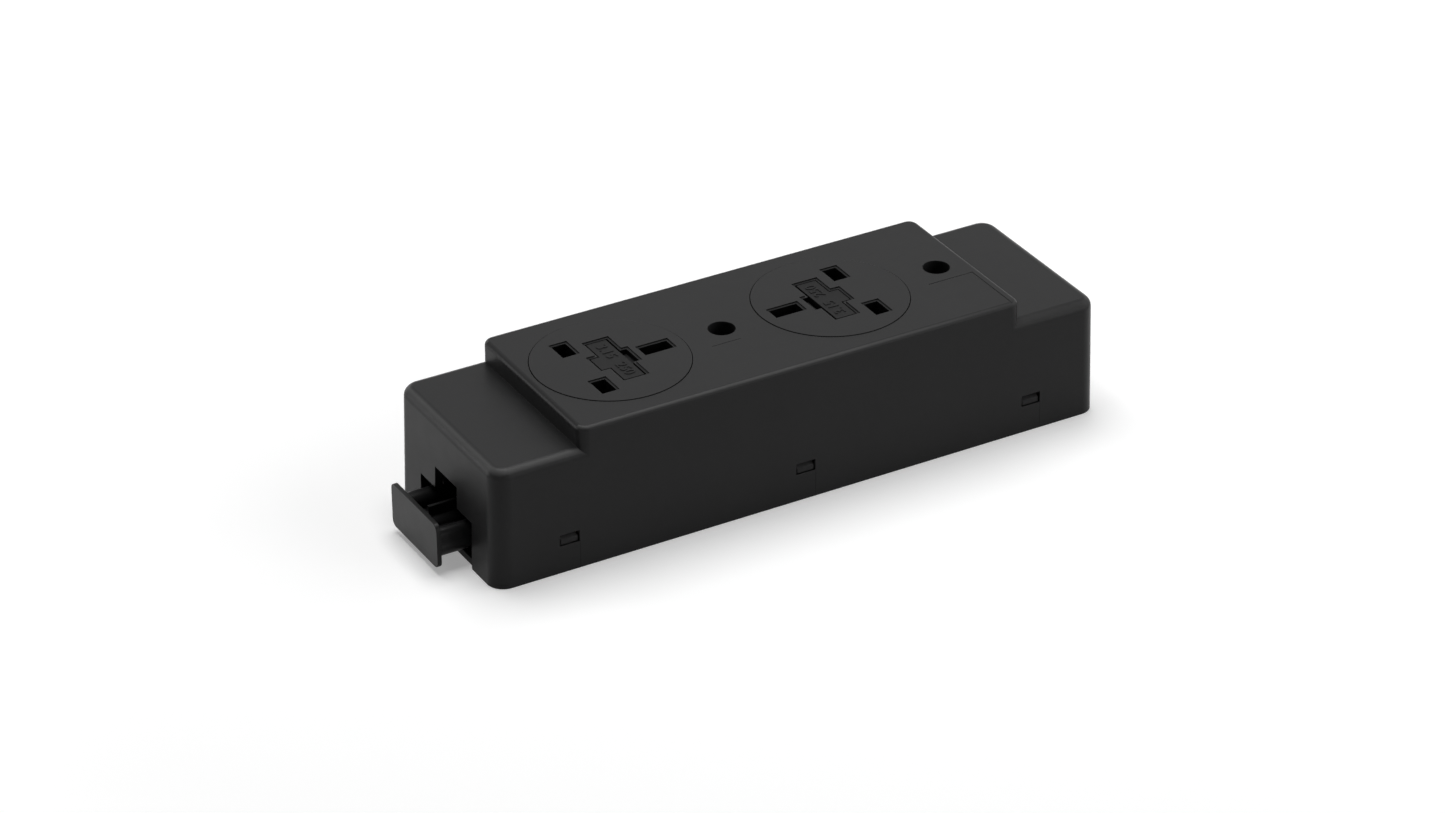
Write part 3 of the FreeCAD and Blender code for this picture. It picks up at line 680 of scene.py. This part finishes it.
def raised_number(name, words, centre, turn):
    """Raised text of one plain number, made a mesh and then put in its place."""
    letters = bpy.data.curves.new(name, "FONT")
    letters.body = words
    letters.size = number_height_mm * MM / digit_share
    letters.extrude = (number_proud_mm + number_sink_mm) / 2 * MM
    letters.bevel_depth = number_edge_mm * MM
    letters.resolution_u = 3
    letters.align_x = "CENTER"
    letters.align_y = "CENTER"
    writing = bpy.data.objects.new(name + "_writing", letters)
    bpy.context.scene.collection.objects.link(writing)
    ready = writing.evaluated_get(bpy.context.evaluated_depsgraph_get())
    mesh = bpy.data.meshes.new_from_object(ready)
    bpy.data.objects.remove(writing)
    lift = Vector((0, 0, (number_proud_mm - number_sink_mm) / 2 * MM))
    mesh.transform(Matrix.Translation(centre + lift) @ Matrix.Rotation(turn, 4, "Z"))
    return mesh


# %% Numbers on the fuse carriers
numbers_mm = (("3.15", -4.9), ("250", 5.6))
carrier_tab_mm = 2.8


def number_carrier(side, towards):
    """Both numbers of one carrier, joined into one raised piece.

    The left carrier counts as turned 1 and the right one, which lies the other way, -1.
    """
    low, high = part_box("fuse_carrier_" + side)
    plate_low = low.x + carrier_tab_mm * MM if towards > 0 else low.x
    plate_high = high.x if towards > 0 else high.x - carrier_tab_mm * MM
    across, middle = (plate_low + plate_high) / 2, (low.y + high.y) / 2
    work = bmesh.new()
    for words, along_mm in numbers_mm:
        centre = Vector((across, middle - towards * along_mm * MM, high.z))
        mesh = raised_number("number_" + side, words, centre, -towards * math.pi / 2)
        work.from_mesh(mesh)
    mesh = bpy.data.meshes.new("numbers_" + side)
    work.to_mesh(mesh)
    work.free()
    piece = bpy.data.objects.new("carrier_numbers_" + side, mesh)
    bpy.context.scene.collection.objects.link(piece)
    mesh.materials.append(finishes["carrier_plastic"])
    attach(piece, "fuse_carrier_" + side)
    return len(mesh.polygons)


print("faces of the numbers", number_carrier("left", 1), number_carrier("right", -1))

# %% [markdown]
# The floor is a plain pale sweep that runs to the horizon. A real studio overexposes
# it to pure white, but here it glows a little for the camera and for reflections only,
# and more so further away, so the lamps can stay at a plain level and the module's
# shadow still shows close to it.

# %% Floor
floor_reach = 12.0
floor_drop_mm = 0.05
floor_grey = (0.80, 0.80, 0.80)
floor_glow, far_glow = 0.29, 1.0
shadow_reach = (0.2, 0.6)
white = (1.0, 1.0, 1.0, 1.0)


def seen_by(tree, *kinds):
    """1 for the rays of the named kinds and else 0."""
    path = add_node(tree, "ShaderNodeLightPath")
    seen = path.outputs[kinds[0]]
    for kind in kinds[1:]:
        seen = maths(tree, "MAXIMUM", seen, path.outputs[kind])
    return seen


def pale_floor():
    """A wide floor whose white glow only the eye and reflections see."""
    mesh = bpy.data.meshes.new("floor")
    corners = [(-1, -1), (1, -1), (1, 1), (-1, 1)]
    mesh.from_pydata([(floor_reach * x, floor_reach * y, -floor_drop_mm * MM) for x, y in corners],
                     [], [(0, 1, 2, 3)])
    floor = bpy.data.objects.new("floor", mesh)
    bpy.context.scene.collection.objects.link(floor)
    material, shader = new_material("pale_floor", floor_grey, roughness=0.9,
                                    Specular_IOR_Level=0.0, Emission_Color=white)
    tree = material.node_tree
    away = add_node(tree, "ShaderNodeVectorMath", {0: object_place(tree)}, operation="LENGTH")
    level = ramp(tree, away.outputs["Value"], *shadow_reach, floor_glow, far_glow)
    seen = product(tree, seen_by(tree, "Is Camera Ray", "Is Transmission Ray"), level)
    shine = product(tree, seen_by(tree, "Is Glossy Ray"), floor_glow)
    tree.links.new(maths(tree, "MAXIMUM", seen, shine), shader.inputs["Emission Strength"])
    mesh.materials.append(material)
    return floor


floor = pale_floor()
print("floor across m", round(floor.dimensions.x, 1))

# %% [markdown]
# Round the floor stands a white sky. As a lamp it would wash out every shadow, so it
# is dim as a lamp, but white to the eye and nearly so in reflections, which gives the
# black plastic its soft sheen.

# %% Sky
sky_level = 0.02
sky_shine = 0.9


def white_sky():
    """A world that is white to the eye, a little dimmer in reflections and dim as a lamp."""
    world = bpy.data.worlds.new("white_sky")
    world.use_nodes = True
    tree = world.node_tree
    backdrop = tree.nodes["Background"]
    backdrop.inputs["Color"].default_value = white
    shine = product(tree, seen_by(tree, "Is Glossy Ray"), sky_shine)
    level = maths(tree, "MAXIMUM", shine, sky_level)
    eye = seen_by(tree, "Is Camera Ray", "Is Transmission Ray")
    tree.links.new(maths(tree, "MAXIMUM", level, eye), backdrop.inputs["Strength"])
    bpy.context.scene.world = world
    return world


print("sky", white_sky().name)

# %% [markdown]
# Four soft lamps light the module as a studio would: one high above and behind for the
# top, two weaker ones from the right for the long front wall, and a small low one at
# the left back, which shades the end face from its far edge to its near one.
# A sun lamp would be simpler, but it has no size near by, so its shadows look the same
# everywhere. Square lamps give shadows that soften with the distance.

# %% Lamps
lamps = {
    "overhead": {"place": (0.05, 0.3, 1.3), "target": (0, 0, 0), "size": 0.9, "power": 15.2},
    "right_fill": {"place": (1.1, -0.7, 0.65), "target": (0, 0, 0), "size": 1.2, "power": 8.0},
    "front_fill": {"place": (0.60, -1.00, 0.30), "target": (0, 0, 0), "size": 0.6, "power": 1.9},
    "left_back": {"place": (-0.36, 0.26, 0.085), "target": (-0.09, 0, 0.02), "size": 0.16,
                  "power": 0.27},
}


def soft_box(name, place, target, size, power):
    """A square lamp that faces a point."""
    data = bpy.data.lights.new(name, "AREA")
    data.shape = "SQUARE"
    data.size = size
    data.energy = power
    lamp = bpy.data.objects.new(name, data)
    bpy.context.scene.collection.objects.link(lamp)
    aim = (Vector(target) - Vector(place)).to_track_quat("-Z", "Y")
    lamp.matrix_world = Matrix.Translation(place) @ aim.to_matrix().to_4x4()
    return lamp


for name, settings in lamps.items():
    soft_box(name, **settings)
bpy.context.scene.view_settings.view_transform = "Standard"
print("lamps", list(lamps))
